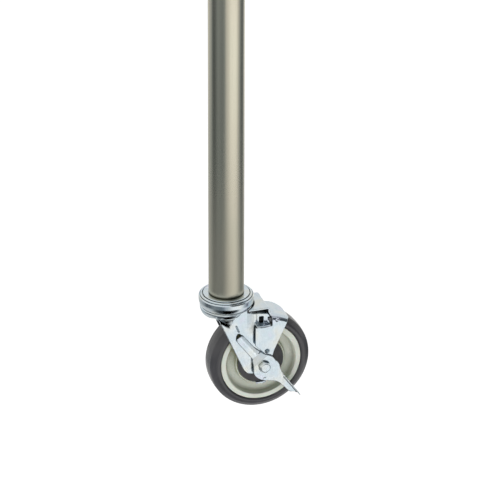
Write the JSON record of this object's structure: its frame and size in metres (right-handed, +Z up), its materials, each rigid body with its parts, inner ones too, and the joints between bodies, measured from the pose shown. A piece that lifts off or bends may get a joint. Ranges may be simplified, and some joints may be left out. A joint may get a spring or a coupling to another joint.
{
  "type": "equipment stand leg on a locking swivel caster",
  "caption": "Straight round stand leg that rolls on a swivel caster with a side lever brake; its open top end fastens to a frame.",
  "frame": {"origin": "on the swivel axis, at the open top end of the leg tube, where the stand's frame takes hold of it", "axes": "+Z up along the tube and the swivel axis; +X the way the wheel trails; -Y the side with the brake lever"},
  "size_m": [0.136, 0.0685, 0.6077],
  "materials": {
    "stainless": "satin brushed, warm grey",
    "zinc": "bright blue-white zinc plate",
    "steel": "plain machined steel",
    "polyurethane": "dark grey moulded polyurethane, low sheen",
    "cream": "cream moulded polyolefin",
    "cap": "dark grey moulded plastic",
    "rubber": "black rubber"
  },
  "bodies": {
    "leg": {"leg_tube": "stainless", "expander_base": "steel", "expander_sleeve": "rubber", "expander_cone": "steel", "expander_nut": "zinc", "top_disc": "zinc", "raceway_plate": "zinc", "swivel_skirt": "zinc", "kingpin": "steel", "upper_balls": "steel", "lower_balls": "steel", "lower_race": "zinc", "kingpin_nut": "zinc"},
    "fork": {"fork": "zinc", "axle_bolt": "zinc", "axle_washer": "zinc", "axle_nut": "zinc", "lever_spacer": "zinc", "axle_sleeve": "steel", "bearing_inner_near": "steel", "bearing_inner_far": "steel"},
    "wheel": {"tread": "polyurethane", "wheel_core": "cream", "hub_cap_near": "cap", "hub_cap_far": "cap", "bearing_outer_near": "steel", "bearing_outer_far": "steel"},
    "lever": {"brake_lever": "zinc"},
    "shoe": {"brake_shoe": "zinc", "return_spring": "steel", "spring_rivet": "zinc"}
  },
  "joints": [
    {"name": "swivel", "type": "hinge", "parent": "leg", "child": "fork", "pos_m": [0, 0, -0.4636], "axis": [0, 0, 1], "continuous": true},
    {"name": "wheel_spin", "type": "hinge", "parent": "fork", "child": "wheel", "pos_m": [0.0394, 0, -0.5443], "axis": [0, 1, 0], "continuous": true},
    {"name": "lever_turn", "type": "hinge", "parent": "fork", "child": "lever", "pos_m": [0.0394, 0, -0.5443], "axis": [0, 1, 0], "range_deg": [0, 46]},
    {"name": "shoe_rock", "type": "hinge", "parent": "fork", "child": "shoe", "pos_m": [0.037, -0.0263, -0.4905], "axis": [-1, 0, 0], "range_deg": [0, 2.9]}
  ],
  "couplings": [
    {"joint": "shoe_rock", "follows": "lever_turn", "ratio": 0.063}
  ]
}
